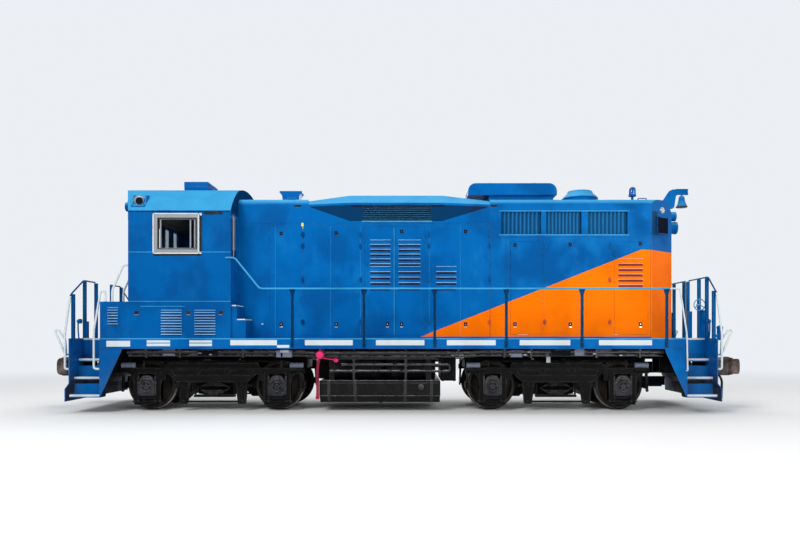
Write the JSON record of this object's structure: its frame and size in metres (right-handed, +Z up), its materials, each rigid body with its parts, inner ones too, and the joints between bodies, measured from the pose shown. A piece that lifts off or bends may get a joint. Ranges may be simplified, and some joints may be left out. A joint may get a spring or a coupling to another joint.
{
  "type": "diesel locomotive",
  "caption": "Diesel locomotive with a cab at one end, a long hood with hinged service doors, swivelling trucks on flanged wheelsets, handrails, corner steps and knuckle couplers.",
  "frame": {"origin": "under the middle of the locomotive, between the coupler faces, at the lowest point of the wheel flanges", "axes": "+X along the length towards the hood's end, with the cab at -X, +Y to the far side, +Z up"},
  "size_m": [15.3, 3.184, 4.995],
  "materials": {
    "blue_paint": "gloss, weathered",
    "black_paint": "satin, dusty",
    "wheel_steel": "rolled tread, rusty plate",
    "cast_steel": "rough casting",
    "window_metal": "satin",
    "glass": "clear",
    "cab_lining": "matte",
    "engine_paint": "oily",
    "rail_paint": "gloss",
    "shutter_paint": "satin"
  },
  "bodies": {
    "locomotive": {"bell": "blue_paint", "brake_hatch": "blue_paint", "cab_base": "blue_paint", "cab_front_landing": "blue_paint", "cab_front_wall": "blue_paint", "cab_glass": "glass", "cab_interior": "cab_lining", "cab_rear_wall": "blue_paint", "cab_roof": "blue_paint", "cab_side_walls": "blue_paint", "cab_window_frames": "window_metal", "engine_block": "engine_paint", "front_coupler": "cast_steel", "front_end_rails": "rail_paint", "front_pilot": "blue_paint", "front_steps": "blue_paint", "fuel_tank": "black_paint", "headlamps": "blue_paint", "hood_end": "blue_paint", "hood_front_roof": "blue_paint", "hood_side_walls": "blue_paint", "radiator_hatch": "blue_paint", "radiator_shutters": "shutter_paint", "rear_coupler": "cast_steel", "rear_end_rails": "rail_paint", "rear_pilot": "blue_paint", "rear_steps": "blue_paint", "roof_fittings": "blue_paint", "side_handrails": "rail_paint", "stair_rails": "rail_paint", "tank_pipes": "black_paint", "underframe": "blue_paint"},
    "front_truck": {"front_truck_frame": "black_paint", "front_truck_bolster": "black_paint", "front_truck_brakes": "black_paint", "front_traction_motors": "black_paint"},
    "front_wheelset_1": {"front_wheelset_1": "wheel_steel"},
    "front_wheelset_2": {"front_wheelset_2": "wheel_steel"},
    "rear_truck": {"rear_truck_frame": "black_paint", "rear_truck_bolster": "black_paint", "rear_truck_brakes": "black_paint", "rear_traction_motors": "black_paint"},
    "rear_wheelset_1": {"rear_wheelset_1": "wheel_steel"},
    "rear_wheelset_2": {"rear_wheelset_2": "wheel_steel"},
    "cab_front_door": {"cab_front_door": "blue_paint"},
    "cab_rear_door_near": {"cab_rear_door_near": "blue_paint"},
    "cab_rear_door_far": {"cab_rear_door_far": "blue_paint"},
    "hood_door_d_near": {"hood_door_d_near": "blue_paint"},
    "hood_door_e_near": {"hood_door_e_near": "blue_paint"},
    "hood_door_h_near": {"hood_door_h_near": "blue_paint"},
    "hood_door_k_near": {"hood_door_k_near": "blue_paint"},
    "hood_door_d_far": {"hood_door_d_far": "blue_paint"},
    "hood_door_e_far": {"hood_door_e_far": "blue_paint"},
    "hood_door_h_far": {"hood_door_h_far": "blue_paint"},
    "hood_door_k_far": {"hood_door_k_far": "blue_paint"}
  },
  "joints": [
    {"name": "front_truck_swivel", "type": "hinge", "parent": "locomotive", "child": "front_truck", "pos_m": [-3.92, 0, 0.86], "axis": [0, 0, 1], "range_deg": [-5, 5]},
    {"name": "front_wheelset_1_turn", "type": "hinge", "parent": "front_truck", "child": "front_wheelset_1", "pos_m": [-5.2915, 0, 0.536], "axis": [0, 1, 0], "continuous": true},
    {"name": "front_wheelset_2_turn", "type": "hinge", "parent": "front_truck", "child": "front_wheelset_2", "pos_m": [-2.5485, 0, 0.536], "axis": [0, 1, 0], "continuous": true},
    {"name": "rear_truck_swivel", "type": "hinge", "parent": "locomotive", "child": "rear_truck", "pos_m": [3.36, 0, 0.86], "axis": [0, 0, 1], "range_deg": [-5, 5]},
    {"name": "rear_wheelset_1_turn", "type": "hinge", "parent": "rear_truck", "child": "rear_wheelset_1", "pos_m": [1.9885, 0, 0.536], "axis": [0, 1, 0], "continuous": true},
    {"name": "rear_wheelset_2_turn", "type": "hinge", "parent": "rear_truck", "child": "rear_wheelset_2", "pos_m": [4.7315, 0, 0.536], "axis": [0, 1, 0], "continuous": true},
    {"name": "cab_front_door_swing", "type": "hinge", "parent": "locomotive", "child": "cab_front_door", "pos_m": [-5.514, -0.325, 3.2], "axis": [0, 0, 1], "range_deg": [0, 95]},
    {"name": "cab_rear_door_near_swing", "type": "hinge", "parent": "locomotive", "child": "cab_rear_door_near", "pos_m": [-3.402, -0.94, 3.2], "axis": [0, 0, 1], "range_deg": [0, 90]},
    {"name": "cab_rear_door_far_swing", "type": "hinge", "parent": "locomotive", "child": "cab_rear_door_far", "pos_m": [-3.402, 0.94, 3.2], "axis": [0, 0, -1], "range_deg": [0, 90]},
    {"name": "hood_door_d_near_swing", "type": "hinge", "parent": "locomotive", "child": "hood_door_d_near", "pos_m": [-0.715, -0.914, 2.7], "axis": [0, 0, -1], "range_deg": [0, 90]},
    {"name": "hood_door_e_near_swing", "type": "hinge", "parent": "locomotive", "child": "hood_door_e_near", "pos_m": [0.567, -0.914, 2.7], "axis": [0, 0, 1], "range_deg": [0, 90]},
    {"name": "hood_door_h_near_swing", "type": "hinge", "parent": "locomotive", "child": "hood_door_h_near", "pos_m": [3.065, -0.914, 2.7], "axis": [0, 0, 1], "range_deg": [0, 70]},
    {"name": "hood_door_k_near_swing", "type": "hinge", "parent": "locomotive", "child": "hood_door_k_near", "pos_m": [4.615, -0.914, 2.7], "axis": [0, 0, -1], "range_deg": [0, 60]},
    {"name": "hood_door_d_far_swing", "type": "hinge", "parent": "locomotive", "child": "hood_door_d_far", "pos_m": [-0.715, 0.914, 2.7], "axis": [0, 0, 1], "range_deg": [0, 90]},
    {"name": "hood_door_e_far_swing", "type": "hinge", "parent": "locomotive", "child": "hood_door_e_far", "pos_m": [0.567, 0.914, 2.7], "axis": [0, 0, -1], "range_deg": [0, 90]},
    {"name": "hood_door_h_far_swing", "type": "hinge", "parent": "locomotive", "child": "hood_door_h_far", "pos_m": [3.065, 0.914, 2.7], "axis": [0, 0, -1], "range_deg": [0, 70]},
    {"name": "hood_door_k_far_swing", "type": "hinge", "parent": "locomotive", "child": "hood_door_k_far", "pos_m": [4.615, 0.914, 2.7], "axis": [0, 0, 1], "range_deg": [0, 60]}
  ]
}
